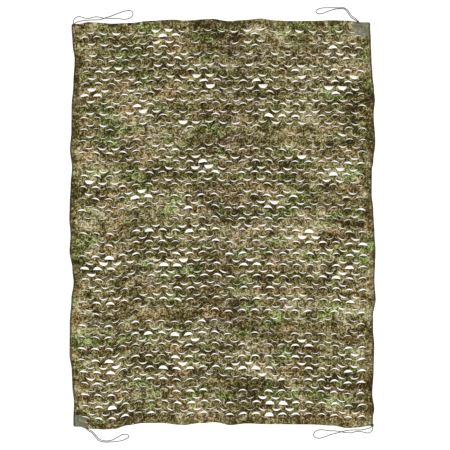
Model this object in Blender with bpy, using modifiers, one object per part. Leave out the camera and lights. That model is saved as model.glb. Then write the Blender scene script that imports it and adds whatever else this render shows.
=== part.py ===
# Leaf-cut camouflage net laid flat on the ground, with a knotted cord loop at each corner.
# Metres, +Z up, +Y towards the net's top edge. The ground is Z = 0.

import math

import bmesh
import bpy
from mathutils import Matrix, Vector
from mathutils.geometry import delaunay_2d_cdt

MM = 0.001
GAP = 0.0003
ON_LINE = 0.00001          # how near a point counts as on a line
MERGE_CLOSER = 0.0000001   # for the triangulation
KEEP_INSIDE = 1            # its output type: the triangles inside the outline

# Net
NET_WIDTH = 1.497
NET_LENGTH = 2.001
CLOTH = 0.0020
HEM = 0.0032
HEM_WIDTH = 0.026
HEM_STEP = 0.003
CORNER_CUT = 0.009
CORNER_CUT_LEAST = 0.002
EDGE_POINTS_ACROSS = 24
EDGE_POINTS_ALONG = 32

# Leaf cuts: staggered rows, every other row turned over
CUT_PITCH = 0.0655
ROW_PITCH = 0.0284
CUT_COLUMNS = 22
CUT_ROWS = 68
CUT_WIDTH = 0.046
CUT_RISE = 0.0215
OPEN_LEAST = 0.0045
OPEN_MOST = 0.0185
OPEN_CURVE = 1.1
OPEN_BASE = 0.20
OPEN_JITTER = 0.34
OPEN_CUT_FROM = 0.585
OPEN_PLACE = 0.75          # what a gaping place adds at its middle
OPEN_RIDGE = 0.055         # what a ridge takes off for each mm of its height
OPEN_RIDGE_SPREAD = 1.5    # how much wider than the ridge that reaches
MOST_CUTS = 250

# Outline of a gaping cut between its tips: place across and up, as shares of half width and rise
CUT_ARCH = [(-0.74, 0.68), (0.0, 1.0), (0.74, 0.68)]
CUT_TONGUE = [(0.42, 0.90), (-0.42, 0.90)]

# Cords
CORD_RADIUS = 0.0020
CORD_STEP = 0.0094
CORD_FINE_STEPS = 12
CORD_SIDES = 8
STUB_REACH = 0.85          # of the way from the cord's end to the knot's middle
KNOT_HEIGHT = 0.0050       # from its foot to its middle
KNOT_CORE = 0.88           # the core's half height, of that
CORE_SEGMENTS = (12, 7)
WRAP_SEGMENTS = (14, 6)
RING_START = math.radians(8.0)

# Waves of the four sides: place along the side from its middle, distance outwards, both in mm
LEFT_WAVES = [
    (-960, -10), (-880, -13), (-801, -5), (-722, -2), (-643, 9), (-484, 8), (-366, 0), (-286, -11),
    (-217, -5), (-128, 9), (-49, 4), (30, 10), (110, 8), (189, 4), (288, -3), (377, 7), (466, 0),
    (585, -1), (704, -10), (822, -16), (902, -6), (981, -1),
]
RIGHT_WAVES = [
    (-960, -4), (-920, 3), (-841, -7), (-722, 0), (-603, 3), (-524, -3), (-450, -3), (-375, 10),
    (-286, 4), (-128, 9), (-49, 4), (70, -2), (149, -10), (268, -9), (308, -2), (407, 8), (545, 0),
    (615, 6), (664, 2), (743, -6), (822, -11), (902, -14), (981, -17),
]
TOP_WAVES = [
    (-715, -19), (-656, -9), (-592, -14), (-552, -18), (-453, -14), (-359, -4), (-240, 2),
    (-181, -2), (-42, 6), (37, -5), (116, 0), (196, 8), (275, -2), (354, -5), (473, -4), (552, -1),
    (631, -3), (710, -11),
]
BOTTOM_WAVES = [
    (-715, 12), (-686, 21), (-587, 26), (-542, 23), (-478, 5), (-398, -6), (-319, -7), (-200, 4),
    (-121, -5), (-42, -10), (37, 4), (116, -4), (235, 0), (433, 1), (552, 7), (621, 19), (666, 16),
    (740, 7),
]

# Places where the cuts gape: x, y in mm, and how far they open there
GAPING_TOP = [(-285, 935, 1.0), (-295, 875, 0.6), (125, 890, 0.6), (565, 865, 0.6)]
GAPING_UPPER = [
    (-540, 790, 0.6), (-260, 795, 0.6), (-605, 705, 0.6), (-660, 640, 0.7), (-125, 725, 0.6),
    (-60, 680, 0.7), (200, 680, 0.8), (385, 745, 0.7), (645, 730, 0.7), (560, 670, 1.0),
    (-405, 565, 1.0), (-170, 495, 0.7), (225, 525, 0.9), (370, 535, 0.6),
]
GAPING_LOWER = [
    (-375, -40, 0.6), (-225, -30, 0.6), (-125, -50, 0.6), (410, -65, 1.0), (-555, -175, 1.0),
    (-655, -225, 0.6), (-200, -175, 1.0), (-295, -225, 0.7), (665, -115, 0.7), (610, -205, 0.7),
    (100, -180, 0.6), (185, -220, 0.7), (400, -175, 0.6), (555, -275, 0.6), (-555, -370, 0.5),
    (-195, -320, 0.6), (-270, -375, 0.5), (210, -350, 0.6), (595, -375, 0.5),
]
GAPING_LAST = [(-565, -895, 0.6), (-135, -905, 0.6), (295, -905, 1.0), (220, -965, 0.8), (170, 0, 0.6)]
UPPER_REPEAT = -426
LOWER_REPEAT = -520
GAPING_ACROSS = 62
GAPING_ALONG = 36

# Soft ridges in the cloth: x, y, length, width, height in mm, and the turn in degrees
RIDGES = [
    (-50, 880, 300, 95, 6.0, 2), (371, 885, 320, 90, 5.0, -3), (-120, 428, 420, 100, 6.5, 2),
    (330, 426, 480, 105, 7.0, -2), (-383, 20, 560, 95, 5.5, 2), (-380, -455, 520, 90, 5.0, -2),
    (330, -520, 620, 100, 6.0, 2), (-334, -866, 320, 85, 5.0, 3), (60, -800, 340, 90, 5.5, -2),
    (480, 130, 260, 80, 4.0, 3), (-560, 300, 240, 80, 4.0, -4),
]
RIDGE_POINT_SIDES = (-0.5, -0.22, 0.0, 0.22, 0.5)
RIDGE_POINT_STEP = 75 * MM
RIDGE_POINT_CLEAR = 9 * MM

# Cord routes from knot to knot: x, y, z of the cord's middle, in mm, from the net's middle
CORD_ROUTES = {
    "top_left": [
        (-738, 989, 8.3), (-738, 994, 6), (-735, 1002, 3), (-730, 1010, 2.2), (-719, 1016, 2.2),
        (-706, 1017, 2.2), (-694, 1014, 2.2), (-682, 1010, 2.2), (-668, 1009, 2.2), (-654, 1010, 2.2),
        (-641, 1014, 2.2), (-627, 1016, 2.2), (-611, 1015, 2.2), (-595, 1011, 2.2), (-574, 1009, 2.2),
        (-552, 1008, 2.2), (-527, 1008, 2.2), (-504, 1006, 2.2), (-486, 1004, 2.2), (-468, 1006, 2.2),
        (-453, 1013, 2.2), (-446, 1022, 2.2), (-443, 1033, 2.2), (-447, 1041, 2.2), (-456, 1047, 2.2),
        (-470, 1047, 2.2), (-491, 1043, 2.2), (-515, 1034, 2.2), (-538, 1025, 2.4), (-555, 1018, 4.4),
        (-569, 1014, 6.7), (-581, 1009, 7.2), (-591, 1006, 6.2), (-602, 1003, 3.8), (-617, 1001, 2.3),
        (-638, 1001, 2.2), (-662, 1000, 2.2), (-683, 998, 2.2), (-701, 995, 2.6), (-714, 992, 5.2),
        (-724, 987, 8.3),
    ],
    "top_right": [
        (661, 1003, 8.3), (655.5, 1008, 5.6), (648, 1014.5, 2.6), (638, 1023, 2.2), (628, 1036, 2.2),
        (618, 1050, 2.2), (608, 1058, 2.2), (595, 1062, 2.2), (580, 1061, 2.2), (562, 1061, 2.2),
        (540, 1061, 2.2), (517, 1061, 2.2), (494, 1060, 2.2), (475, 1055, 2.2), (465, 1048, 2.2),
        (463, 1040, 2.2), (470, 1033, 2.2), (482, 1031, 2.2), (496, 1033, 2.2), (510, 1039, 2.2),
        (526, 1045, 2.2), (545, 1051, 2.2), (564, 1055, 2.2), (581, 1056, 2.2), (594, 1056, 2.2),
        (604, 1054, 2.2), (613, 1046, 2.2), (623, 1032, 2.2), (632.5, 1018, 2.2), (642, 1009.5, 2.6),
        (649.5, 1003.5, 5.6), (655.5, 998.5, 8.3),
    ],
    "bottom_left": [
        (-664, -1030, 8.3), (-657, -1035, 5.5), (-647, -1042, 2.6), (-632, -1059, 2.2),
        (-616, -1078, 2.2), (-600, -1086, 2.2), (-583, -1088, 2.2), (-564, -1088, 2.2),
        (-544, -1087, 2.2), (-525, -1085, 2.2), (-504, -1082, 2.2), (-485, -1076, 2.2),
        (-470, -1068, 2.2), (-463, -1061, 2.2), (-468, -1053, 2.2), (-481, -1049, 2.2),
        (-495, -1051, 2.2), (-511, -1059, 2.2), (-526, -1068, 2.2), (-541, -1076, 2.2),
        (-559, -1081, 2.2), (-581, -1082, 2.2), (-596, -1080, 2.2), (-611, -1072, 2.2),
        (-627, -1055, 2.2), (-644, -1036, 2.6), (-653, -1030, 5.5), (-660, -1025, 8.3),
    ],
    "bottom_right": [
        (742, -1019, 8.3), (741, -1026, 6), (737, -1034, 3), (728, -1041, 2.2), (716, -1043, 2.2),
        (701, -1040, 2.2), (685, -1036, 2.2), (668, -1035, 2.2), (653, -1038, 2.2), (638, -1042, 2.2),
        (619, -1042, 2.2), (601, -1040, 2.2), (583, -1036, 2.2), (560, -1033, 2.2), (527, -1032, 2.2),
        (507, -1029, 2.2), (489, -1027, 2.2), (472, -1029, 2.2), (458, -1037, 2.2), (451, -1048, 2.2),
        (453, -1060, 2.2), (462, -1067, 2.2), (480, -1069, 2.2), (497, -1065, 2.2), (520, -1057, 2.2),
        (542, -1049, 2.3), (560, -1044, 4), (575, -1040, 6.6), (588, -1036, 7.2), (600, -1033, 6.6),
        (614, -1030, 4), (631, -1029, 2.3), (655, -1028, 2.2), (681, -1028, 2.2), (702, -1025, 2.4),
        (717, -1021, 4.6), (728, -1017, 8.3),
    ],
}

# Knots: middle x, y, half length, half width in mm, and the turn of the long side in degrees
KNOTS = {
    "top_left": (-735.5, 976.5, 9.0, 7.5, 60),
    "top_right": (668.5, 992.0, 8.0, 6.0, 120),
    "bottom_left": (-671.0, -1018.5, 8.0, 6.0, 130),
    "bottom_right": (739.5, -1004.0, 11.0, 8.5, 80),
}

# The wraps over a knot: lean in degrees, share of the half width, place along the knot
WRAPS = [(-27.0, 0.88, -0.40), (19.0, 0.80, 0.33)]

# Colours, linear
COLOURS = {
    "net": (0.155, 0.135, 0.055, 0.92),
    "cord": (0.065, 0.072, 0.075, 0.75),
}


def clear_scene():
    for found in list(bpy.data.objects):
        bpy.data.objects.remove(found, do_unlink=True)


def new_collection(name):
    group = bpy.data.collections.new(name)
    bpy.context.scene.collection.children.link(group)
    return group


def plain_material(name):
    red, green, blue, rough = COLOURS[name]
    material = bpy.data.materials.new(name)
    material.use_nodes = True
    shader = material.node_tree.nodes["Principled BSDF"]
    shader.inputs["Base Color"].default_value = (red, green, blue, 1.0)
    shader.inputs["Roughness"].default_value = rough
    shader.inputs["Metallic"].default_value = 0.0
    return material


def smooth_step(t):
    t = min(max(t, 0.0), 1.0)
    return t * t * (3.0 - 2.0 * t)


def wave(table, place):
    """Distance outwards of one side at a place along it, in metres."""
    place = place / MM
    if place <= table[0][0]:
        return table[0][1] * MM
    for (start, low), (end, high) in zip(table, table[1:]):
        if place <= end:
            return (low + (high - low) * smooth_step((place - start) / (end - start))) * MM
    return table[-1][1] * MM


def warp(x, y):
    """Moves a point of the straight rectangle to where it lies in the laid net."""
    across = x / NET_WIDTH + 0.5
    along = y / NET_LENGTH + 0.5
    left = wave(LEFT_WAVES, y) * (1.0 - across)
    right = wave(RIGHT_WAVES, y) * across
    top = wave(TOP_WAVES, x) * along
    bottom = wave(BOTTOM_WAVES, x) * (1.0 - along)
    return x + right - left, y + top - bottom


def chance(column, row, salt):
    """An even spread between 0 and 1 that is the same on every run."""
    value = math.sin(column * 12.9898 + row * 78.233 + salt * 37.719) * 43758.5453
    return value - math.floor(value)


def gaping_places():
    places = list(GAPING_TOP) + list(GAPING_LAST)
    for x, y, amount in GAPING_UPPER:
        places.append((x, y, amount))
        places.append((x, y + UPPER_REPEAT, amount))
    for x, y, amount in GAPING_LOWER:
        places.append((x, y, amount))
        places.append((x, y + LOWER_REPEAT, amount))
    return places


def openness(x, y, column, row, places):
    """How far a cut gapes: 0 is shut, 1 is wide open."""
    value = OPEN_BASE + OPEN_JITTER * chance(column, row, 1)
    for px, py, amount in places:
        away = ((x / MM - px) / GAPING_ACROSS) ** 2 + ((y / MM - py) / GAPING_ALONG) ** 2
        value += OPEN_PLACE * amount * math.exp(-away)
    for rx, ry, length, width, height, turn in RIDGES:
        wider = (rx, ry, length, OPEN_RIDGE_SPREAD * width, height, turn)
        value -= OPEN_RIDGE * height * ridge_share(x, y, wider)
    return min(max(value, 0.0), 1.0)


def cuts():
    """The widest cuts as (openness, x, y, up), widest first."""
    places = gaping_places()
    found = []
    for row in range(CUT_ROWS):
        turned = row % 2
        y = (row - (CUT_ROWS - 1) / 2.0) * ROW_PITCH
        for column in range(CUT_COLUMNS - turned):
            x = (column - (CUT_COLUMNS - 1 - turned) / 2.0) * CUT_PITCH
            amount = openness(x, y, column, row, places)
            if amount >= OPEN_CUT_FROM:
                found.append((amount, x, y, -1.0 if turned else 1.0))
    found.sort(key=lambda cut: (-cut[0], cut[1], cut[2]))
    return found[:MOST_CUTS]


def crescent(amount, x, y, up):
    """Outline of one gaping cut, anticlockwise, in the straight rectangle."""
    half = CUT_WIDTH / 2.0
    foot = y - up * CUT_RISE / 2.0
    share = (amount - OPEN_CUT_FROM) / (1.0 - OPEN_CUT_FROM)
    gape = OPEN_LEAST + (OPEN_MOST - OPEN_LEAST) * share ** OPEN_CURVE
    points = [(x - half, foot)]
    points += [(x + half * u, foot + up * CUT_RISE * v) for u, v in CUT_ARCH]
    points += [(x + half, foot)]
    points += [(x + half * u, foot + up * (CUT_RISE * v - gape * v)) for u, v in CUT_TONGUE]
    return points if up < 0 else points[::-1]


def ridge_share(x, y, ridge):
    """How much of a ridge's height stands at a point, 0 outside it."""
    rx, ry, length, width, height, turn = ridge
    angle = math.radians(turn)
    dx = x / MM - rx
    dy = y / MM - ry
    along = (dx * math.cos(angle) + dy * math.sin(angle)) / (length / 2.0)
    across = (dy * math.cos(angle) - dx * math.sin(angle)) / (width / 2.0)
    if abs(along) >= 1.0 or abs(across) >= 1.0:
        return 0.0
    return (1.0 - along ** 4) * math.cos(across * math.pi / 2.0) ** 2


def lift(x, y):
    """Height of the cloth's underside above the ground."""
    return max(ridge[4] * MM * ridge_share(x, y, ridge) for ridge in RIDGES)


def rectangle(inset):
    """Points round the straight rectangle, anticlockwise from the bottom left, corners cut."""
    half_x = NET_WIDTH / 2.0 - inset
    half_y = NET_LENGTH / 2.0 - inset
    cut = max(CORNER_CUT - inset, CORNER_CUT_LEAST)
    corners = [(-half_x, -half_y), (half_x, -half_y), (half_x, half_y), (-half_x, half_y)]
    counts = [EDGE_POINTS_ACROSS, EDGE_POINTS_ALONG, EDGE_POINTS_ACROSS, EDGE_POINTS_ALONG]
    points = []
    for index, count in enumerate(counts):
        start = Vector(corners[index])
        end = Vector(corners[(index + 1) % 4])
        step = (end - start).normalized() * cut
        for place in range(count + 1):
            point = (start + step).lerp(end - step, place / count)
            points.append((point.x, point.y))
    return points


def ridge_points(crescents):
    """Points on the crests and feet of the ridges, clear of the cuts."""
    taken = [Vector(point) for outline in crescents for point in outline]
    points = []
    for rx, ry, length, width, height, turn in RIDGES:
        angle = math.radians(turn)
        count = max(2, round(length * MM / RIDGE_POINT_STEP))
        for side in RIDGE_POINT_SIDES:
            for place in range(count + 1):
                u = (place / count - 0.5) * length
                v = side * width
                x = (rx + u * math.cos(angle) - v * math.sin(angle)) * MM
                y = (ry + u * math.sin(angle) + v * math.cos(angle)) * MM
                spot = Vector((x, y))
                if min((spot - other).length for other in taken) > RIDGE_POINT_CLEAR:
                    points.append((x, y))
                    taken.append(spot)
    return points


def middle():
    """Middle of the laid net's own box."""
    outline = [warp(x, y) for x, y in rectangle(0.0)]
    xs = [point[0] for point in outline]
    ys = [point[1] for point in outline]
    return (min(xs) + max(xs)) / 2.0, (min(ys) + max(ys)) / 2.0


def net_sheet(group, shift):
    """The cut cloth and its doubled hem, one solid from one open surface."""
    outline = rectangle(0.0)
    hem_line = rectangle(HEM_WIDTH)
    cloth_line = rectangle(HEM_WIDTH + HEM_STEP)
    crescents = [crescent(*cut) for cut in cuts()]
    loops = [outline] + crescents
    flat = []
    faces = []
    for loop in loops:
        faces.append(list(range(len(flat), len(flat) + len(loop))))
        flat += loop
    edges = []
    for loop in (hem_line, cloth_line):
        first = len(flat)
        count = len(loop)
        edges += [(first + place, first + (place + 1) % count) for place in range(count)]
        flat += loop
    flat += ridge_points(crescents)
    spots, _, triangles, _, _, owners = delaunay_2d_cdt(
        [Vector(point) for point in flat], edges, faces, KEEP_INSIDE, MERGE_CLOSER, True
    )
    mesh = bpy.data.meshes.new("net")
    shape = bmesh.new()
    corners = []
    for spot in spots:
        x, y = warp(spot.x, spot.y)
        corners.append(shape.verts.new((x - shift[0], y - shift[1], lift(spot.x, spot.y))))
    for triangle, owner in zip(triangles, owners):
        if owner == [0]:
            shape.faces.new([corners[index] for index in triangle])
    loose = [corner for corner in shape.verts if not corner.link_faces]
    bmesh.ops.delete(shape, geom=loose, context="VERTS")
    bmesh.ops.recalc_face_normals(shape, faces=shape.faces)
    if sum(face.normal.z for face in shape.faces) < 0:
        bmesh.ops.reverse_faces(shape, faces=shape.faces)
    half_x = NET_WIDTH / 2.0 - HEM_WIDTH
    half_y = NET_LENGTH / 2.0 - HEM_WIDTH
    shape.verts.ensure_lookup_table()
    in_hem = []
    kept_spots = [spot for spot, corner in zip(spots, corners) if corner.is_valid]
    for index, spot in enumerate(kept_spots):
        if abs(spot.x) > half_x - ON_LINE or abs(spot.y) > half_y - ON_LINE:
            in_hem.append(index)
    shape.to_mesh(mesh)
    shape.free()
    net = bpy.data.objects.new("net", mesh)
    group.objects.link(net)
    hem = net.vertex_groups.new(name="hem")
    hem.add(in_hem, 1.0, "REPLACE")
    thicken = net.modifiers.new("cloth", "SOLIDIFY")
    thicken.thickness = HEM
    thicken.offset = 1.0
    thicken.vertex_group = "hem"
    thicken.thickness_vertex_group = CLOTH / HEM
    mesh.materials.append(plain_material("net"))
    return net


def smooth_route(route, shift):
    """Evenly spaced points on a smooth curve through a route's own points."""
    nodes = [Vector((x * MM - shift[0], y * MM - shift[1], z * MM)) for x, y, z in route]
    nodes = [nodes[0] * 2.0 - nodes[1]] + nodes + [nodes[-1] * 2.0 - nodes[-2]]
    fine = []
    for a, b, c, d in zip(nodes, nodes[1:], nodes[2:], nodes[3:]):
        for part in range(CORD_FINE_STEPS):
            t = part / CORD_FINE_STEPS
            fine.append(
                0.5 * (2.0 * b + (c - a) * t + (2.0 * a - 5.0 * b + 4.0 * c - d) * t ** 2
                       + (3.0 * b - a - 3.0 * c + d) * t ** 3)
            )
    fine.append(nodes[-2])
    length = sum((b - a).length for a, b in zip(fine, fine[1:]))
    count = round(length / CORD_STEP)
    points = [fine[0]]
    walked = 0.0
    for a, b in zip(fine, fine[1:]):
        stretch = (b - a).length
        while len(points) < count and walked + stretch >= len(points) * length / count:
            points.append(a.lerp(b, (len(points) * length / count - walked) / stretch))
        walked += stretch
    points.append(fine[-1])
    return points


def cord_tube(name, points, group, material):
    curve = bpy.data.curves.new(name, "CURVE")
    curve.dimensions = "3D"
    curve.twist_mode = "Z_UP"
    curve.bevel_depth = CORD_RADIUS
    curve.bevel_resolution = CORD_SIDES // 4
    curve.use_fill_caps = True
    spline = curve.splines.new("POLY")
    spline.points.add(len(points) - 1)
    for place, point in zip(spline.points, points):
        place.co = (point.x, point.y, max(point.z, CORD_RADIUS), 1.0)
    curve.materials.append(material)
    tube = bpy.data.objects.new(name, curve)
    group.objects.link(tube)
    return tube


def mesh_object(name, shape, group):
    mesh = bpy.data.meshes.new(name)
    shape.to_mesh(mesh)
    shape.free()
    made = bpy.data.objects.new(name, mesh)
    group.objects.link(made)
    return made


def ring(name, radius, thickness, flatten, group):
    """A torus on its edge, squashed in height."""
    around, section = WRAP_SEGMENTS
    bpy.ops.mesh.primitive_torus_add(
        major_segments=around, minor_segments=section, major_radius=radius, minor_radius=thickness
    )
    made = bpy.context.active_object
    made.name = name
    made.data.transform(Matrix.Rotation(RING_START, 4, "Z"))
    made.data.transform(Matrix.Rotation(math.pi / 2.0, 4, "Y"))
    made.data.transform(Matrix.Diagonal((1.0, 1.0, flatten, 1.0)))
    for owner in list(made.users_collection):
        owner.objects.unlink(made)
    group.objects.link(made)
    return made


def stub(name, tip, inward, length, group):
    """Short round end of the cord where it enters the knot, flat faced."""
    shape = bmesh.new()
    turn = inward.to_track_quat("Z", "Y").to_matrix().to_4x4()
    place = Matrix.Translation(tip + inward * (GAP + length / 2.0)) @ turn
    bmesh.ops.create_cone(
        shape, cap_ends=True, segments=CORD_SIDES, radius1=CORD_RADIUS, radius2=CORD_RADIUS,
        depth=length, matrix=place,
    )
    return mesh_object(name, shape, group)


def knot(name, spec, points, shift, group, helpers, material):
    """A pulled-down knot: a squashed core, two wraps over it and the cord's two ends."""
    x, y, half_length, half_width, turn = spec
    foot = HEM + GAP
    middle_spot = Vector((x * MM - shift[0], y * MM - shift[1], foot + KNOT_HEIGHT))
    spin = Matrix.Rotation(math.radians(turn), 4, "Z")
    core = bmesh.new()
    size = (half_length * MM, half_width * MM, KNOT_CORE * KNOT_HEIGHT, 1.0)
    bmesh.ops.create_uvsphere(
        core, u_segments=CORE_SEGMENTS[0], v_segments=CORE_SEGMENTS[1], radius=1.0
    )
    bmesh.ops.transform(core, matrix=spin @ Matrix.Diagonal(size), verts=core.verts)
    bmesh.ops.translate(core, vec=middle_spot, verts=core.verts)
    body = mesh_object(name, core, group)
    body.data.materials.append(material)
    pieces = []
    for number, (lean, share, along) in enumerate(WRAPS):
        reach = share * half_width * MM
        flatten = KNOT_HEIGHT / (reach + CORD_RADIUS)
        wrap = ring(f"{name}_wrap_{number}", reach, CORD_RADIUS, flatten, helpers)
        wrap.data.transform(spin @ Matrix.Rotation(math.radians(lean), 4, "Z"))
        offset = spin @ Vector((along * half_length * MM, 0.0, 0.0))
        wrap.data.transform(Matrix.Translation(middle_spot + offset))
        pieces.append(wrap)
    for number, (tip, after) in enumerate(((points[0], points[1]), (points[-1], points[-2]))):
        inward = (tip - after).normalized()
        length = STUB_REACH * (middle_spot - tip).length
        pieces.append(stub(f"{name}_end_{number}", tip, inward, length, helpers))
    for piece in pieces:
        piece.hide_render = True
        piece.display_type = "WIRE"
        join = body.modifiers.new(piece.name, "BOOLEAN")
        join.operation = "UNION"
        join.solver = "EXACT"
        join.object = piece
    return body


def build():
    clear_scene()
    group = new_collection("camouflage_net")
    helpers = new_collection("cutters")
    shift = middle()
    net_sheet(group, shift)
    cord = plain_material("cord")
    for corner, route in CORD_ROUTES.items():
        points = smooth_route(route, shift)
        cord_tube(f"cord_{corner}", points, group, cord)
        knot(f"knot_{corner}", KNOTS[corner], points, shift, group, helpers, cord)


build()
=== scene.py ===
import math

import bmesh
import bpy
import numpy as np
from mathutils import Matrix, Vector


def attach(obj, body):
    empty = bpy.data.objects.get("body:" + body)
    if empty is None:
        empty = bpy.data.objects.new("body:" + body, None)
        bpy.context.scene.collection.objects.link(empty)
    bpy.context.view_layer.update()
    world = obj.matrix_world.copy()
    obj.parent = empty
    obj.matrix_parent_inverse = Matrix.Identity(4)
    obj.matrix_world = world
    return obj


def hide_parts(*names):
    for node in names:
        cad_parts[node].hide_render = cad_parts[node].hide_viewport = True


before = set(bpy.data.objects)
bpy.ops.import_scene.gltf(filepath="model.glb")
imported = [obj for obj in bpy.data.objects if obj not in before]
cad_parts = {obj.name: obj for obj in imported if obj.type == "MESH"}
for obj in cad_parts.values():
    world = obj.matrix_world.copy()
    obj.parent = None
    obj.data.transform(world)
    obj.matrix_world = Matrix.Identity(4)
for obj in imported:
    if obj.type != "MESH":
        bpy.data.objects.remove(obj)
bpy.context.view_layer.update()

# A leaf-cut camouflage net laid flat, with a cord loop at each corner.
# Metres, the net's top edge towards +Y, the ground at Z = 0.

photo = {
    "side": 450,            # pixels
    "scale": 0.00495,       # metres in one pixel
    "middle": (222.5, 222.15),  # pixel of the net's middle
}

net = {
    "width": 1.497,
    "length": 2.001,
    "hem": 0.026,
    "corner": 0.009,
    "clothHeight": 0.0011,  # over the ground where it lies flat
    "middle": (0.00034, -0.00868),  # of the laid net's box, from the straight rectangle's
}
shiftX, shiftY = net["middle"]

# waves of the four sides: place along the side from its middle, distance outwards, in mm
sides = {
    "left": [
        (-960, -10), (-880, -13), (-801, -5), (-722, -2), (-643, 9), (-484, 8), (-366, 0),
        (-286, -11), (-217, -5), (-128, 9), (-49, 4), (30, 10), (110, 8), (189, 4), (288, -3),
        (377, 7), (466, 0), (585, -1), (704, -10), (822, -16), (902, -6), (981, -1),
    ],
    "right": [
        (-960, -4), (-920, 3), (-841, -7), (-722, 0), (-603, 3), (-524, -3), (-450, -3),
        (-375, 10), (-286, 4), (-128, 9), (-49, 4), (70, -2), (149, -10), (268, -9), (308, -2),
        (407, 8), (545, 0), (615, 6), (664, 2), (743, -6), (822, -11), (902, -14), (981, -17),
    ],
    "top": [
        (-715, -19), (-656, -9), (-592, -14), (-552, -18), (-453, -14), (-359, -4), (-240, 2),
        (-181, -2), (-42, 6), (37, -5), (116, 0), (196, 8), (275, -2), (354, -5), (473, -4),
        (552, -1), (631, -3), (710, -11),
    ],
    "bottom": [
        (-715, 12), (-686, 21), (-587, 26), (-542, 23), (-478, 5), (-398, -6), (-319, -7),
        (-200, 4), (-121, -5), (-42, -10), (37, 4), (116, -4), (235, 0), (433, 1), (552, 7),
        (621, 19), (666, 16), (740, 7),
    ],
}


def sideWave(side, place):
    table = np.array(sides[side], float)
    place = np.asarray(place, float) * 1000
    after = np.clip(np.searchsorted(table[:, 0], place), 1, len(table) - 1)
    start, end = table[after - 1], table[after]
    part = np.clip((place - start[..., 0]) / (end[..., 0] - start[..., 0]), 0, 1)
    part = part * part * (3 - 2 * part)
    return (start[..., 1] + (end[..., 1] - start[..., 1]) * part) / 1000


def waved(x, y):
    # moves points of the straight rectangle to where they lie in the net
    across = x / net["width"] + 0.5
    along = y / net["length"] + 0.5
    newX = x + sideWave("right", y) * across - sideWave("left", y) * (1 - across)
    newY = y + sideWave("top", x) * along - sideWave("bottom", x) * (1 - along)
    return newX, newY


# Cuts: rows of leaf cuts, every other row turned over
cut = {
    "pitch": 0.0655,
    "rowPitch": 0.0284,
    "columns": 22,
    "rows": 68,
    "width": 0.046,
    "rise": 0.0215,
    "foot": 0.00345,        # from the cell's lower edge to the tips
    "chord": 0.0013,        # where the tongue starts to bend
    "gapeLeast": 0.0045,    # at the openness from which the CAD cuts through
    "gapeMost": 0.0185,
    "gapeFrom": 0.585,
    "gapeCurve": 1.1,
    "gapeNarrow": 0.0076,   # the widest of the cuts that the CAD leaves shut
    "narrowCurve": 1.05,
    "curlShare": 0.72,      # of the gape that comes from the tongue's curl
    "leastCurl": 0.002,     # least and most share of a tongue's length that its curl takes up
    "mostCurl": 0.95,
    "skew": 0.005,          # how far a tongue's edge may lie to one side
    "tilt": 0.9,            # how unevenly its two ends may curl
    "edgeLift": 0.0030,
    "tongueRows": (0.36, 0.70),     # where two rows of points cross the tongue
    "besideTips": (0.0028, 0.0095), # the same rows' heights just outside the tips
    "betweenCuts": (0.0045, 0.0170),
    "columnsInCell": 12,
    "rowsInCell": 5,
    "fullShadeGape": 0.0035,     # the gape from which the painted shade on a tongue's edge is full
    "unevenLeast": 0.62,
    "unevenSpread": 0.76,
}

gaping = {
    "top": [(-285, 935, 1.0), (-295, 875, 0.6), (125, 890, 0.6), (565, 865, 0.6)],
    "upper": [
        (-540, 790, 0.6), (-260, 795, 0.6), (-605, 705, 0.6), (-660, 640, 0.7), (-125, 725, 0.6),
        (-60, 680, 0.7), (200, 680, 0.8), (385, 745, 0.7), (645, 730, 0.7), (560, 670, 1.0),
        (-405, 565, 1.0), (-170, 495, 0.7), (225, 525, 0.9), (370, 535, 0.6),
    ],
    "lower": [
        (-375, -40, 0.6), (-225, -30, 0.6), (-125, -50, 0.6), (410, -65, 1.0), (-555, -175, 1.0),
        (-655, -225, 0.6), (-200, -175, 1.0), (-295, -225, 0.7), (665, -115, 0.7), (610, -205, 0.7),
        (100, -180, 0.6), (185, -220, 0.7), (400, -175, 0.6), (555, -275, 0.6), (-555, -370, 0.5),
        (-195, -320, 0.6), (-270, -375, 0.5), (210, -350, 0.6), (595, -375, 0.5),
    ],
    "last": [(-565, -895, 0.6), (-135, -905, 0.6), (295, -905, 1.0), (220, -965, 0.8), (170, 0, 0.6)],
    "upperRepeat": -426,
    "lowerRepeat": -520,
    "across": 62,
    "along": 36,
    "base": 0.20,
    "jitter": 0.34,
    "place": 0.75,          # what a gaping place adds at its middle
    "ridge": 0.055,         # what a ridge takes off for each mm of its height
    "ridgeSpread": 1.5,
}

# soft ridges: x, y, length, width, height in mm, turn in degrees
ridges = [
    (-50, 880, 300, 95, 6.0, 2), (371, 885, 320, 90, 5.0, -3), (-120, 428, 420, 100, 6.5, 2),
    (330, 426, 480, 105, 7.0, -2), (-383, 20, 560, 95, 5.5, 2), (-380, -455, 520, 90, 5.0, -2),
    (330, -520, 620, 100, 6.0, 2), (-334, -866, 320, 85, 5.0, 3), (60, -800, 340, 90, 5.5, -2),
    (480, 130, 260, 80, 4.0, 3), (-560, 300, 240, 80, 4.0, -4),
]

# small unevenness all over the cloth: waves to a metre across, along, height in mm
crinkles = [
    (5.1, 9.3, 0.45), (-8.2, 13.7, 0.40), (14.6, 6.1, 0.30), (-3.3, 21.9, 0.42), (19.4, -17.2, 0.22),
    (27.1, 11.8, 0.16), (-24.3, 30.7, 0.14),
]


def chance(column, row, salt):
    value = np.sin(column * 12.9898 + row * 78.233 + salt * 37.719) * 43758.5453
    return value - np.floor(value)


def ridgeShare(x, y, ridge, widen=1.0):
    middleX, middleY, length, width, height, turn = ridge
    angle = math.radians(turn)
    fromX, fromY = x * 1000 - middleX, y * 1000 - middleY
    along = (fromX * math.cos(angle) + fromY * math.sin(angle)) / (length / 2)
    across = (fromY * math.cos(angle) - fromX * math.sin(angle)) / (widen * width / 2)
    inside = (np.abs(along) < 1) & (np.abs(across) < 1)
    return np.where(inside, (1 - along ** 4) * np.cos(across * math.pi / 2) ** 2, 0.0)


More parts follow.
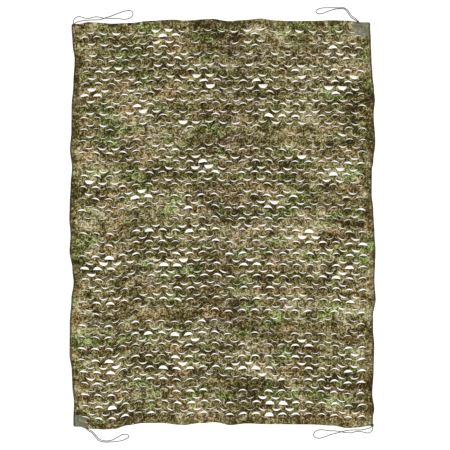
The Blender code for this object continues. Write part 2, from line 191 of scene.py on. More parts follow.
def lift(x, y):
    high = np.zeros(np.broadcast(x, y).shape)
    for ridge in ridges:
        high = np.maximum(high, ridge[4] / 1000 * ridgeShare(x, y, ridge))
    return high


def crinkle(x, y):
    high = 0.0
    for number, (across, along, height) in enumerate(crinkles):
        bend = 0.6 * np.sin(2 * math.pi * (0.9 * x - 0.7 * y) * (1 + number) + number)
        high = high + height / 1000 * np.sin(2 * math.pi * (across * x + along * y) + bend + 2.1 * number)
    return high


def gapingPlaces():
    places = gaping["top"] + gaping["last"]
    for name in ("upper", "lower"):
        for x, y, amount in gaping[name]:
            places = places + [(x, y, amount), (x, y + gaping[name + "Repeat"], amount)]
    return places


def openness(x, y, column, row):
    value = gaping["base"] + gaping["jitter"] * chance(column, row, 1)
    for placeX, placeY, amount in gapingPlaces():
        away = ((x * 1000 - placeX) / gaping["across"]) ** 2
        away = away + ((y * 1000 - placeY) / gaping["along"]) ** 2
        value = value + gaping["place"] * amount * np.exp(-away)
    for ridge in ridges:
        height = ridge[4]
        value = value - gaping["ridge"] * height * ridgeShare(x, y, ridge, gaping["ridgeSpread"])
    return np.clip(value, 0, 1)


def gapeOf(amount):
    share = np.clip((amount - cut["gapeFrom"]) / (1 - cut["gapeFrom"]), 0, 1)
    wide = cut["gapeLeast"] + (cut["gapeMost"] - cut["gapeLeast"]) * share ** cut["gapeCurve"]
    narrow = cut["gapeNarrow"] * np.clip(amount / cut["gapeFrom"], 0, 1) ** cut["narrowCurve"]
    return np.where(amount >= cut["gapeFrom"], np.maximum(wide, narrow), narrow)


def curlAngle(share):
    # the angle t with sin t / t = 1 - share, by bisection
    low, high = np.full(share.shape, 0.01), np.full(share.shape, 3.0)
    for _ in range(30):
        half = (low + high) / 2
        more = np.sin(half) / half > 1 - share
        low, high = np.where(more, half, low), np.where(more, high, half)
    return (low + high) / 2


def meshPiece(name, vertices, faces):
    mesh = bpy.data.meshes.new(name)
    mesh.from_pydata([tuple(v) for v in vertices], [], [tuple(int(i) for i in f) for f in faces])
    mesh.update()
    mesh.polygons.foreach_set("use_smooth", [True] * len(mesh.polygons))
    piece = bpy.data.objects.new(name, mesh)
    bpy.context.scene.collection.objects.link(piece)
    return piece


def clothSheet():
    inCell, inRow = cut["columnsInCell"], cut["rowsInCell"]
    columns, rows = cut["columns"] * inCell, cut["rows"] * inRow
    halfX = cut["columns"] * cut["pitch"] / 2
    halfY = cut["rows"] * cut["rowPitch"] / 2
    step = cut["pitch"] / inCell
    firstTip, lastTip = 2, inCell - 2
    half, rise, foot, chord = cut["width"] / 2, cut["rise"], cut["foot"], cut["chord"]
    rowPitch = cut["rowPitch"]

    column = np.arange(columns + 1)
    plainX = -halfX + column * step
    x = np.zeros((rows + 1, columns + 1))
    y = np.zeros_like(x)
    up = np.zeros_like(x)          # height over the lying cloth
    curl = np.zeros_like(x)        # 0 on the net, 1 at a tongue's curled edge
    frameX, frameY, frameUp = {}, {}, {}

    for band in range(cut["rows"]):
        turned = band % 2
        low = -halfY + band * rowPitch
        place = (column - turned * inCell // 2) % inCell
        cell = (column - turned * inCell // 2) // inCell
        u = -np.cos(math.pi * (place - firstTip) / (lastTip - firstTip))
        inTongue = (place > firstTip) & (place < lastTip)
        inSlit = (place >= firstTip) & (place <= lastTip)
        cellX = -halfX + (cell + 0.5) * cut["pitch"] + turned * cut["pitch"] / 2
        real = (cell >= 0) & (cell < cut["columns"] - turned)
        cellY = low + rowPitch / 2
        amount = openness(cellX, cellY, cell, band)
        uneven = cut["unevenLeast"] + cut["unevenSpread"] * chance(cell, band, 5)
        uneven = np.where(amount < cut["gapeFrom"], uneven, 1.0)
        gape = np.where(real, gapeOf(amount) * uneven, 0)
        skew = (chance(cell, band, 2) - 0.5) * cut["skew"]
        tilt = (chance(cell, band, 3) - 0.5) * cut["tilt"]
        bow = np.sqrt(np.clip(1 - u * u, 0, 1))
        arc = foot + rise * bow
        longest = foot + rise - chord
        curled = np.clip(cut["curlShare"] * gape / longest, cut["leastCurl"], cut["mostCurl"])
        angle = curlAngle(curled)
        shrink = (longest - gape) / np.maximum(longest * np.sin(angle) / angle, 0.0005)
        shrink = np.where(real, np.clip(shrink, 0.2, 1.0), 1.0)
        nearTip = np.isin(place, (1, inCell - 1))
        lowTip, highTip = cut["besideTips"]
        lowSide, highSide = cut["betweenCuts"]
        root = np.where(inSlit, chord, np.where(nearTip, lowTip, lowSide))
        edge = np.where(inSlit, arc, np.where(nearTip, highTip, highSide))
        heights = [np.zeros(columns + 1), root]
        heights += [root + (edge - root) * share for share in cut["tongueRows"]]
        heights += [edge, np.full(columns + 1, rowPitch)]
        for level in range(inRow + 1):
            row = band * inRow + (inRow - level if turned else level)
            inner = 0 < level < inRow
            spotX = np.where(inSlit & inner, cellX + half * u, plainX)
            spotY = heights[level].copy()
            spotUp = np.zeros(columns + 1)
            spotCurl = np.zeros(columns + 1)
            if 1 < level < inRow:
                run = spotY - chord
                bend = angle / longest * (1 + tilt * u)
                turn = np.maximum(run * bend, 1e-6)
                moved = np.sin(turn) / bend * shrink
                raised = (1 - np.cos(turn)) / bend
                if level == 4:
                    frameX[band] = spotX.copy()
                    frameY[band] = spotY.copy()
                    risen = cut["edgeLift"] * chance(cell, band, 4) * bow
                    frameUp[band] = risen * np.clip(gape / 0.006, 0.2, 1)
                free = inTongue & real
                spotX = np.where(free, spotX + skew * (run / longest) ** 2, spotX)
                spotY = np.where(free, chord + moved, spotY)
                spotUp = np.where(free, raised, 0)
                # painted shade: the curled end of each tongue is marked to be darkened, more where its cut
                # gapes wider
                dark = np.clip(gape / cut["fullShadeGape"], 0.3, 1)
                spotCurl = np.where(free, (run / longest) ** 3 * dark, 0)
            x[row] = spotX
            y[row] = low + (rowPitch - spotY if turned else spotY)
            up[row] = spotUp
            curl[row] = spotCurl

    # a margin all round, which runs into the hem
    outX = net["width"] / 2 - 0.6 * net["hem"]
    outY = net["length"] / 2 - 0.6 * net["hem"]
    x = np.pad(x, 1, mode="edge")
    y = np.pad(y, 1, mode="edge")
    up = np.pad(up, 1, mode="edge")
    curl = np.pad(curl, 1)
    x[:, 0], x[:, -1] = -outX, outX
    y[0], y[-1] = -outY, outY
    flat = [x.ravel(), y.ravel(), up.ravel(), curl.ravel()]
    grid = np.arange(x.size).reshape(x.shape)
    frameSide = grid.copy()
    extra = [[], [], [], []]
    fresh = x.size
    for band in range(cut["rows"]):
        turned = band % 2
        line = band * inRow + (1 if turned else inRow - 1) + 1
        low = -halfY + band * rowPitch
        for cell in range(cut["columns"] - turned):
            for place in range(firstTip + 1, lastTip):
                at = cell * inCell + place + turned * inCell // 2
                extra[0].append(frameX[band][at])
                high = frameY[band][at]
                extra[1].append(low + (rowPitch - high if turned else high))
                extra[2].append(frameUp[band][at])
                extra[3].append(0.0)
                frameSide[line, at + 1] = fresh
                fresh += 1
    flat = [np.concatenate([a, b]) for a, b in zip(flat, extra)]

    lower, upper = grid[:-1].copy(), grid[1:].copy()
    for band in range(cut["rows"]):
        if band % 2:
            upper[band * inRow + 1] = frameSide[band * inRow + 2]
        else:
            lower[band * inRow + inRow] = frameSide[band * inRow + inRow]
    faces = np.stack([lower[:, :-1], lower[:, 1:], upper[:, 1:], upper[:, :-1]], -1).reshape(-1, 4)

    flatX, flatY, flatUp, flatCurl = flat
    laidX, laidY = waved(flatX, flatY)
    inside = np.clip((net["width"] / 2 - np.abs(flatX)) / 0.06, 0, 1)
    inside = inside * np.clip((net["length"] / 2 - np.abs(flatY)) / 0.06, 0, 1)
    ground = net["clothHeight"] + lift(flatX, flatY) + inside * (crinkle(flatX, flatY) + 0.0012)
    laidZ = np.maximum(ground, 0.0006) + flatUp
    vertices = np.stack([laidX - shiftX, laidY - shiftY, laidZ], -1)
    piece = meshPiece("cut_cloth", vertices, faces)
    printMap = piece.data.uv_layers.new(name="print")
    corners = np.empty(len(piece.data.loops), dtype=np.int64)
    piece.data.loops.foreach_get("vertex_index", corners)
    printMap.data.foreach_set("uv", np.stack([flatX[corners], flatY[corners]], -1).ravel())
    mark = piece.data.attributes.new("curl", "FLOAT", "POINT")
    mark.data.foreach_set("value", flatCurl.astype(np.float32))
    return piece


hem = {
    "stationsAcross": 150,
    "stationsAlong": 200,
    "stationsCorner": 5,
    # distance in from the edge and height, in mm, round the doubled band
    "profile": [
        (26.0, 1.2), (25.4, 2.3), (23.2, 2.5), (21.4, 1.9), (19.6, 2.5), (15.0, 2.7), (10.5, 2.6),
        (8.0, 3.3), (5.0, 4.1), (2.6, 4.0), (0.9, 3.1), (0.1, 1.9), (0.7, 0.8), (2.4, 0.25),
        (9.0, 0.2), (17.0, 0.2), (25.2, 0.25),
    ],
    "rollTop": 0.72,        # how high the roll is along the top and bottom, of its height at the sides
    "puckers": [(171, 0.5, 0.0), (97, 0.5, 1.3), (263, 0.4, 0.4)],
    "puckerHeight": 0.00022,
    "stitchIn": 0.0214,
    "stitchLength": 0.0046,
    "stitchStep": 0.0066,
    "stitchThick": 0.00055,
}


def hemLine(inset):
    # points round the net at a distance in from its edge, with the turn at each
    halfX, halfY = net["width"] / 2 - inset, net["length"] / 2 - inset
    radius = max(net["corner"] - inset, 0.0015)
    points = []
    corners = [(1, -1, -90), (1, 1, 0), (-1, 1, 90), (-1, -1, 180)]
    counts = [hem["stationsAlong"], hem["stationsAcross"]] * 2
    for number, (sideX, sideY, start) in enumerate(corners):
        middle = Vector((sideX * (halfX - radius), sideY * (halfY - radius)))
        for place in range(hem["stationsCorner"]):
            angle = math.radians(start + 90 * place / (hem["stationsCorner"] - 1))
            points.append(middle + radius * Vector((math.cos(angle), math.sin(angle))))
        nextX, nextY, nextStart = corners[(number + 1) % 4]
        nextMiddle = Vector((nextX * (halfX - radius), nextY * (halfY - radius)))
        angle = math.radians(nextStart)
        nextPoint = nextMiddle + radius * Vector((math.cos(angle), math.sin(angle)))
        last = points[-1]
        for place in range(1, counts[number]):
            points.append(last.lerp(nextPoint, place / counts[number]))
    return np.array([tuple(point) for point in points])


def hemBand():
    vertices, flatSpots = [], []
    outer = hemLine(0.0)
    along = np.cumsum(np.r_[0, np.hypot(*np.diff(outer, axis=0).T)])
    sideways = np.abs(outer[:, 0]) / (net["width"] / 2) > np.abs(outer[:, 1]) / (net["length"] / 2)
    roll = np.where(sideways, 1.0, hem["rollTop"])
    for width in (9, 15):
        roll = (roll + np.roll(roll, width) + np.roll(roll, -width)) / 3
    pucker = sum(size * np.sin(along * often + start) for often, size, start in hem["puckers"])
    for inMm, highMm in hem["profile"]:
        line = hemLine(inMm / 1000)
        x, y = waved(line[:, 0], line[:, 1])
        rolled = 1 + (roll - 1) * (inMm < 9)
        z = highMm / 1000 * rolled
        z = z + np.where(highMm > 1, hem["puckerHeight"] * pucker, 0.0)
        vertices.append(np.stack([x - shiftX, y - shiftY, z], -1))
        flatSpots.append(line)
    ring, stations = len(vertices), len(outer)
    vertices = np.concatenate(vertices)
    flatSpots = np.concatenate(flatSpots)
    faces = []
    for level in range(ring):
        after = (level + 1) % ring
        for station in range(stations):
            beyond = (station + 1) % stations
            faces.append((level * stations + station, level * stations + beyond,
                          after * stations + beyond, after * stations + station))
    piece = meshPiece("hem_fold", vertices, faces)
    outwards(piece)
    printMap = piece.data.uv_layers.new(name="print")
    corners = np.empty(len(piece.data.loops), dtype=np.int64)
    piece.data.loops.foreach_get("vertex_index", corners)
    printMap.data.foreach_set("uv", flatSpots[corners].ravel())
    return piece


def outwards(piece):
    shape = bmesh.new()
    shape.from_mesh(piece.data)
    bmesh.ops.recalc_face_normals(shape, faces=shape.faces)
    shape.to_mesh(piece.data)
    shape.free()


def hemStitches():
    line = hemLine(hem["stitchIn"])
    x, y = waved(line[:, 0], line[:, 1])
    line = np.stack([x - shiftX, y - shiftY], -1)
    line = np.concatenate([line, line[:1]])
    along = np.cumsum(np.r_[0, np.hypot(*np.diff(line, axis=0).T)])
    count = int(along[-1] / hem["stitchStep"])
    half, thick = hem["stitchLength"] / 2, hem["stitchThick"]
    vertices, faces = [], []
    for number in range(count):
        middle = (number + 0.5) * along[-1] / count
        spot = np.array([np.interp(middle, along, line[:, k]) for k in (0, 1)])
        ahead = np.array([np.interp(min(middle + 0.002, along[-1]), along, line[:, k]) for k in (0, 1)])
        way = (ahead - spot) / max(np.hypot(*(ahead - spot)), 1e-9)
        side = np.array([-way[1], way[0]])
        first = len(vertices)
        lean = 0.0003 * (1 if number % 2 else -1)
        for step, size in ((-1.0, 0.35), (-0.45, 1.0), (0.45, 1.0), (1.0, 0.35)):
            centre = spot + way * half * step + side * lean * step
            for turn in range(5):
                angle = 2 * math.pi * turn / 5
                flatPoint = centre + side * thick * size * math.cos(angle)
                vertices.append((*flatPoint, 0.00215 + 0.8 * thick * size * math.sin(angle)))
        for ringNumber in range(3):
            for turn in range(5):
                a = first + ringNumber * 5 + turn
                b = first + ringNumber * 5 + (turn + 1) % 5
                faces.append((a, b, b + 5, a + 5))
        faces.append(tuple(first + turn for turn in range(4, -1, -1)))
        faces.append(tuple(first + 15 + turn for turn in range(5)))
    piece = meshPiece("hem_stitches", vertices, faces)
    outwards(piece)
    return piece


# Cords
cordRadius = 0.0020
cordSteps = {"ring": 14, "along": 0.0016, "braid": 0.00024, "braidTurns": 5, "braidPitch": 0.0125}
cords = {
    "top_left": {"length": 0.63, "route": [
        (-738, 989, 8.3), (-738, 994, 6), (-735, 1002, 3), (-730, 1010, 2.2), (-719, 1016, 2.2),
        (-706, 1017, 2.2), (-694, 1014, 2.2), (-682, 1010, 2.2), (-668, 1009, 2.2), (-654, 1010, 2.2),
        (-641, 1014, 2.2), (-627, 1016, 2.2), (-611, 1015, 2.2), (-595, 1011, 2.2), (-574, 1009, 2.2),
        (-552, 1008, 2.2), (-527, 1008, 2.2), (-504, 1006, 2.2), (-486, 1004, 2.2), (-468, 1006, 2.2),
        (-453, 1013, 2.2), (-446, 1022, 2.2), (-443, 1033, 2.2), (-447, 1041, 2.2), (-456, 1047, 2.2),
        (-470, 1047, 2.2), (-491, 1043, 2.2), (-515, 1034, 2.2), (-538, 1025, 2.4), (-555, 1018, 4.4),
        (-569, 1014, 6.7), (-581, 1009, 7.2), (-591, 1006, 6.2), (-602, 1003, 3.8), (-617, 1001, 2.3),
        (-638, 1001, 2.2), (-662, 1000, 2.2), (-683, 998, 2.2), (-701, 995, 2.6), (-714, 992, 5.2),
        (-724, 987, 8.3),
    ]},
    "top_right": {"length": 0.46, "route": [
        (661, 1003, 8.3), (655.5, 1008, 5.6), (648, 1014.5, 2.6), (638, 1023, 2.2), (628, 1036, 2.2),
        (618, 1050, 2.2), (608, 1058, 2.2), (595, 1062, 2.2), (580, 1061, 2.2), (562, 1061, 2.2),
        (540, 1061, 2.2), (517, 1061, 2.2), (494, 1060, 2.2), (475, 1055, 2.2), (465, 1048, 2.2),
        (463, 1040, 2.2), (470, 1033, 2.2), (482, 1031, 2.2), (496, 1033, 2.2), (510, 1039, 2.2),
        (526, 1045, 2.2), (545, 1051, 2.2), (564, 1055, 2.2), (581, 1056, 2.2), (594, 1056, 2.2),
        (604, 1054, 2.2), (613, 1046, 2.2), (623, 1032, 2.2), (632.5, 1018, 2.2), (642, 1009.5, 2.6),
        (649.5, 1003.5, 5.6), (655.5, 998.5, 8.3),
    ]},
    "bottom_left": {"length": 0.46, "route": [
        (-664, -1030, 8.3), (-657, -1035, 5.5), (-647, -1042, 2.6), (-632, -1059, 2.2),
        (-616, -1078, 2.2), (-600, -1086, 2.2), (-583, -1088, 2.2), (-564, -1088, 2.2),
        (-544, -1087, 2.2), (-525, -1085, 2.2), (-504, -1082, 2.2), (-485, -1076, 2.2),
        (-470, -1068, 2.2), (-463, -1061, 2.2), (-468, -1053, 2.2), (-481, -1049, 2.2),
        (-495, -1051, 2.2), (-511, -1059, 2.2), (-526, -1068, 2.2), (-541, -1076, 2.2),
        (-559, -1081, 2.2), (-581, -1082, 2.2), (-596, -1080, 2.2), (-611, -1072, 2.2),
        (-627, -1055, 2.2), (-644, -1036, 2.6), (-653, -1030, 5.5), (-660, -1025, 8.3),
    ]},
    "bottom_right": {"length": 0.62, "route": [
        (742, -1019, 8.3), (741, -1026, 6), (737, -1034, 3), (728, -1041, 2.2), (716, -1043, 2.2),
        (701, -1040, 2.2), (685, -1036, 2.2), (668, -1035, 2.2), (653, -1038, 2.2), (638, -1042, 2.2),
        (619, -1042, 2.2), (601, -1040, 2.2), (583, -1036, 2.2), (560, -1033, 2.2), (527, -1032, 2.2),
        (507, -1029, 2.2), (489, -1027, 2.2), (472, -1029, 2.2), (458, -1037, 2.2), (451, -1048, 2.2),
        (453, -1060, 2.2), (462, -1067, 2.2), (480, -1069, 2.2), (497, -1065, 2.2), (520, -1057, 2.2),
        (542, -1049, 2.3), (560, -1044, 4), (575, -1040, 6.6), (588, -1036, 7.2), (600, -1033, 6.6),
        (614, -1030, 4), (631, -1029, 2.3), (655, -1028, 2.2), (681, -1028, 2.2), (702, -1025, 2.4),
        (717, -1021, 4.6), (728, -1017, 8.3),
    ]},
}

# middle x, y, half length, half width in mm, turn of the long side in degrees
knots = {
    "top_left": (-735.5, 976.5, 9.0, 7.5, 60),
    "top_right": (668.5, 992.0, 8.0, 6.0, 120),
    "bottom_left": (-671.0, -1018.5, 8.0, 6.0, 130),
    "bottom_right": (739.5, -1004.0, 11.0, 8.5, 80),
}
knotShape = {
    "middleHeight": 0.0085,
    "halfHeight": 0.0030,
    "turns": 2.6,
    "points": 44,
    "start": 0.6,           # where round the knot the wraps begin
    "run": 1.15,            # how far they run along it, of its half length
    "taper": 0.35,
    "wrapSize": 0.93,       # of the cord's radius, pulled tight
    "endSize": 0.96,
    "endsApart": 0.0045,
    "endsDeep": 0.7,
}


def smoothLine(points, step):
    # evenly spaced points on a smooth curve through hand-set ones
    nodes = [Vector(point) for point in points]
    nodes = [nodes[0] * 2 - nodes[1]] + nodes + [nodes[-1] * 2 - nodes[-2]]
    fine = []
    for a, b, c, d in zip(nodes, nodes[1:], nodes[2:], nodes[3:]):
        for part in range(16):
            t = part / 16
            fine.append(0.5 * (2 * b + (c - a) * t + (2 * a - 5 * b + 4 * c - d) * t ** 2
                               + (3 * b - a - 3 * c + d) * t ** 3))
    fine = np.array([tuple(point) for point in fine + [nodes[-2]]])
    along = np.cumsum(np.r_[0, np.linalg.norm(np.diff(fine, axis=0), axis=1)])
    count = max(4, round(along[-1] / step))
    spots = np.linspace(0, along[-1], count + 1)
    return np.stack([np.interp(spots, along, fine[:, k]) for k in range(3)], -1)


def braidedTube(path, radius, start=0.0):
    # rings round a line, their radius raised and sunk as a braid's plaits
    ring = cordSteps["ring"]
    ways = np.gradient(path, axis=0)
    ways /= np.linalg.norm(ways, axis=1)[:, None]
    side = np.cross(ways[0], (0, 0, 1.0))
    if np.linalg.norm(side) < 0.1:
        side = np.cross(ways[0], (1.0, 0, 0))
    side /= np.linalg.norm(side)
    vertices, faces, maps = [], [], []
    walked = start
    for number, (spot, way) in enumerate(zip(path, ways)):
        side = side - way * np.dot(side, way)
        side /= np.linalg.norm(side)
        over = np.cross(way, side)
        if number:
            walked += np.linalg.norm(spot - path[number - 1])
        for turn in range(ring):
            angle = 2 * math.pi * turn / ring
            phase = 2 * math.pi * walked / cordSteps["braidPitch"]
            plait = math.sin(cordSteps["braidTurns"] * angle + phase * 2.5)
            plait *= math.sin(cordSteps["braidTurns"] * angle - phase * 2.5)
            size = radius - cordSteps["braid"] + cordSteps["braid"] * abs(plait) * 1.4
            vertices.append(spot + size * (math.cos(angle) * side + math.sin(angle) * over))
            maps.append((turn / ring, walked))
    for number in range(len(path) - 1):
        for turn in range(ring):
            a, b = number * ring + turn, number * ring + (turn + 1) % ring
            faces.append((a, b, b + ring, a + ring))
    last = (len(path) - 1) * ring
    faces.append(tuple(range(ring - 1, -1, -1)))
    faces.append(tuple(last + turn for turn in range(ring)))
    return vertices, faces, maps


def cordPiece(name, tubes):
    vertices, faces, maps = [], [], []
    for tubeVertices, tubeFaces, tubeMaps in tubes:
        first = len(vertices)
        vertices += tubeVertices
        maps += tubeMaps
        faces += [tuple(first + index for index in face) for face in tubeFaces]
    lowest = min(vertex[2] for vertex in vertices)
    vertices = [(v[0], v[1], v[2] - min(lowest, 0.0)) for v in vertices]
    piece = meshPiece(name, vertices, faces)
    outwards(piece)
    layer = piece.data.uv_layers.new(name="lay")
    for loop in piece.data.loops:
        layer.data[loop.index].uv = maps[loop.vertex_index]
    return piece


def cornerCord(corner):
    spec = cords[corner]
    route = [(x / 1000 - shiftX, y / 1000 - shiftY, z / 1000) for x, y, z in spec["route"]]
    path = smoothLine(route, cordSteps["along"])
    cord = cordPiece(f"loop_{corner}", [braidedTube(path, cordRadius)])
    knot = cornerKnot(corner, path)
    return cord, knot, path


def cornerKnot(corner, path):
    x, y, halfLength, halfWidth, turn = knots[corner]
    middle = np.array([x / 1000 - shiftX, y / 1000 - shiftY, knotShape["middleHeight"]])
    angle = math.radians(turn)
    long = np.array([math.cos(angle), math.sin(angle), 0.0])
    wide = np.array([-math.sin(angle), math.cos(angle), 0.0])
    high = np.array([0.0, 0.0, 1.0])
    reachLong = halfLength / 1000
    reachWide = halfWidth / 1000 - cordRadius
    reachHigh = knotShape["halfHeight"]
    tubes = []
    # the wraps over the knot, from one end to the other
    wraps = []
    for place in range(knotShape["points"]):
        t = place / (knotShape["points"] - 1)
        a = 2 * math.pi * knotShape["turns"] * t + knotShape["start"]
        bulge = 1 - knotShape["taper"] * (2 * t - 1) ** 2
        spot = middle + long * reachLong * (t - 0.5) * knotShape["run"]
        spot = spot + wide * reachWide * bulge * math.cos(a) + high * reachHigh * bulge * math.sin(a)
        wraps.append(tuple(spot))
    wrapLine = smoothLine(wraps, cordSteps["along"])
    tubes.append(braidedTube(wrapLine, cordRadius * knotShape["wrapSize"]))
    # the two ends that go in under the wraps
    for tip, after, side in ((path[0], path[3], 0.5), (path[-1], path[-4], -0.5)):
        inward = (tip - after) / np.linalg.norm(tip - after)
        through = middle + wide * side * knotShape["endsApart"]
        away = np.sign(np.dot(tip - middle, long) + 1e-9)
        beyond = through - long * reachLong * knotShape["endsDeep"] * away
        line = [tuple(tip + inward * 0.0003), tuple(tip + inward * 0.003), tuple(through), tuple(beyond)]
        endLine = smoothLine(line, cordSteps["along"])
        tubes.append(braidedTube(endLine, cordRadius * knotShape["endSize"]))
    return cordPiece(f"tied_{corner}", tubes)


# Materials
class Wire:
    # a socket that can be used in sums
    def __init__(self, paint, socket):
        self.paint = paint
        self.socket = socket

    def sum(self, operation, first, second):
        return self.paint.node("ShaderNodeMath", {"operation": operation}, {0: first, 1: second})

    def __add__(self, other):
        return self.sum("ADD", self, other)

    def __radd__(self, other):
        return self.sum("ADD", other, self)

    def __sub__(self, other):
        return self.sum("SUBTRACT", self, other)

    def __rsub__(self, other):
        return self.sum("SUBTRACT", other, self)

    def __mul__(self, other):
        return self.sum("MULTIPLY", self, other)

    def __rmul__(self, other):
        return self.sum("MULTIPLY", other, self)

    def __pow__(self, other):
        return self.sum("POWER", self, other)

    def __rpow__(self, other):
        return self.sum("POWER", other, self)


class Paint:
    def __init__(self, name):
        self.material = bpy.data.materials.new(name)
        self.material.use_nodes = True
        self.tree = self.material.node_tree
        self.shader = self.tree.nodes["Principled BSDF"]

    def node(self, kind, settings=None, sockets=None, output=0):
        made = self.tree.nodes.new(kind)
        for key, value in (settings or {}).items():
            if key == "stops":
                ramp = made.color_ramp
                while len(ramp.elements) < len(value):
                    ramp.elements.new(0.5)
                for element, (place, colour) in zip(ramp.elements, value):
                    element.position = place
                    element.color = (*colour, 1.0)
            else:
                setattr(made, key, value)
        for key, value in (sockets or {}).items():
            self.put(made.inputs[key], value)
        return Wire(self, made.outputs[output])

    def put(self, socket, value):
        if isinstance(value, Wire):
            self.tree.links.new(value.socket, socket)
        elif isinstance(value, tuple) and len(value) == 3 and socket.type == "RGBA":
            socket.default_value = (*value, 1.0)
        else:
            socket.default_value = value

    def set(self, name, value):
        self.put(self.shader.inputs[name], value)

    def noise(self, vector, scale, detail=2.0, rough=0.5, distortion=0.0):
        return self.node("ShaderNodeTexNoise", None, {
            "Vector": vector, "Scale": scale, "Detail": detail, "Roughness": rough,
            "Distortion": distortion})

    def ramp(self, factor, stops):
        return self.node("ShaderNodeValToRGB", {"stops": stops}, {"Fac": factor})

    def mix(self, factor, first, second, blend="MIX"):
        return self.node("ShaderNodeMix", {"data_type": "RGBA", "blend_type": blend},
                         {0: factor, 6: first, 7: second}, 2)

    def between(self, value, low, high):
        return self.node("ShaderNodeMapRange", {"interpolation_type": "SMOOTHSTEP"},
                         {0: value, 1: low, 2: high, 3: 0.0, 4: 1.0})

    def laid(self, vector, scale, turn=0.0, move=(0.0, 0.0, 0.0)):
        return self.node("ShaderNodeMapping", None, {
            "Vector": vector, "Location": move, "Rotation": (0.0, 0.0, math.radians(turn)),
            "Scale": scale})


foliage = {
    # tones of the printed growth, from its dark gaps to its lightest blades
    "tones": [
        (0.00, (0.016, 0.010, 0.002)), (0.22, (0.044, 0.031, 0.006)), (0.38, (0.091, 0.072, 0.019)),
        (0.50, (0.152, 0.126, 0.041)), (0.62, (0.235, 0.200, 0.080)), (0.80, (0.395, 0.345, 0.182)),
        (1.00, (0.620, 0.560, 0.365)),
    ],
    "green": (0.78, 1.12, 0.72),
    "rust": (1.20, 0.92, 0.84),
    "bark": (1.04, 0.97, 1.42),
    "patch": (0.190, 0.200, 0.150),
    # painted shade: the near-black below is laid over each tongue's curled edge
    "back": (0.016, 0.013, 0.010),
    # painted shade for the rolled left and right edges of the hem
    "rimShade": (0.030, 0.026, 0.014),
    # how strongly each size of growth changes the tone
    "broad": 0.80,
    "middle": 1.00,
    "leafy": 1.35,
    "fine": 1.90,
}


def foliagePrint(paint, spot):
    # one tone from patches, blades, leaves and dark gaps, then a tint for each patch
    broad = paint.noise(paint.laid(spot, (0.6, 1.0, 1.0)), 6.0, 1.0, 0.5) - 0.5
    middle = paint.noise(paint.laid(spot, (0.7, 1.0, 1.0), 12), 26.0, 1.0, 0.5, 0.5) - 0.5
    leafy = paint.noise(spot, 75.0, 1.0, 0.5, 0.8) - 0.5
    fine = paint.noise(spot, 150.0, 2.0, 0.7, 0.4) - 0.5
    tone = 0.44 + broad * foliage["broad"] + middle * foliage["middle"]
    tone = tone + leafy * foliage["leafy"] + fine * foliage["fine"]
    # twiggy column down the middle
    across = paint.node("ShaderNodeSeparateXYZ", None, {0: spot}, 0)
    wander = paint.noise(spot, 3.5, 2.0, 0.5) * 0.20
    offMiddle = paint.node("ShaderNodeMath", {"operation": "ABSOLUTE"}, {0: across + wander - 0.12})
    column = 1 - paint.between(offMiddle, 0.04, 0.18)
    tone = tone - column * 0.05
    # blades of grass, leaning both ways
    for turn, scale, move in ((28, 60.0, 0.0), (-34, 52.0, 4.0), (8, 75.0, 9.0)):
        leaning = paint.laid(spot, (2.4, 0.55, 1.0), turn, (move, move, 0.0))
        streaks = paint.noise(leaning, scale, 2.0, 0.6, 0.9)
        tone = tone + paint.between(streaks, 0.54, 0.64) * 0.09
    # small leaves lying over them
    leafSpot = paint.laid(spot, (1.0, 0.55, 1.0), 40, (1.3, 2.2, 0.0))
    leaf = paint.node("ShaderNodeTexVoronoi", {"feature": "F1"},
                      {"Vector": leafSpot, "Scale": 62.0, "Randomness": 1.0})
    leafTone = paint.node("ShaderNodeTexVoronoi", {"feature": "F1"},
                          {"Vector": leafSpot, "Scale": 62.0, "Randomness": 1.0}, 1)
    pick = paint.node("ShaderNodeSeparateColor", None, {0: leafTone}, 0)
    leafMask = (1 - paint.between(leaf, 0.26, 0.40)) * paint.between(pick, 0.52, 0.60)
    tone = tone + leafMask * (pick - 0.66) * 0.6
    # dark gaps between them
    gaps = paint.noise(paint.laid(spot, (0.8, 1.0, 1.0), 15), 48.0, 3.0, 0.65, 0.6)
    tone = tone - (1 - paint.between(gaps, 0.36, 0.50)) * 0.16
    colour = paint.ramp(tone, foliage["tones"])
    # tints, some hand size and some finger size
    hue = paint.noise(paint.laid(spot, (0.65, 1.0, 1.0), 0, (3.1, 1.7, 0.0)), 10.0, 3.0, 0.6, 0.3)
    colour = paint.mix(paint.between(hue, 0.53, 0.64) * 0.8, colour, foliage["green"], "MULTIPLY")
    colour = paint.mix((1 - paint.between(hue, 0.36, 0.46)) * 0.6, colour, foliage["rust"], "MULTIPLY")
    dust = paint.noise(paint.laid(spot, (0.8, 1.0, 1.0), 0, (7.3, 5.2, 0.0)), 16.0, 3.0, 0.6, 0.3)
    greyed = paint.between(dust + column * 0.08, 0.54, 0.68)
    return paint.mix(greyed * 0.75, colour, foliage["bark"], "MULTIPLY")


def cornerPatch(paint, spot):
    # the cloth's plain side, folded over at two corners
    halfX, halfY = net["width"] / 2, net["length"] / 2
    x = paint.node("ShaderNodeSeparateXYZ", None, {0: spot}, 0)
    y = paint.node("ShaderNodeSeparateXYZ", None, {0: spot}, 1)
    ragged = paint.noise(spot, 40.0, 2.0, 0.5) * 0.012
    topRight = paint.between(x + ragged, halfX - 0.085, halfX - 0.079)
    topRight = topRight * paint.between(y + ragged, halfY - 0.064, halfY - 0.058)
    bottomLeft = 1 - paint.between(x + ragged, 0.070 - halfX, 0.076 - halfX)
    bottomLeft = bottomLeft * (1 - paint.between(y + ragged, 0.062 - halfY, 0.068 - halfY))
    return topRight + bottomLeft


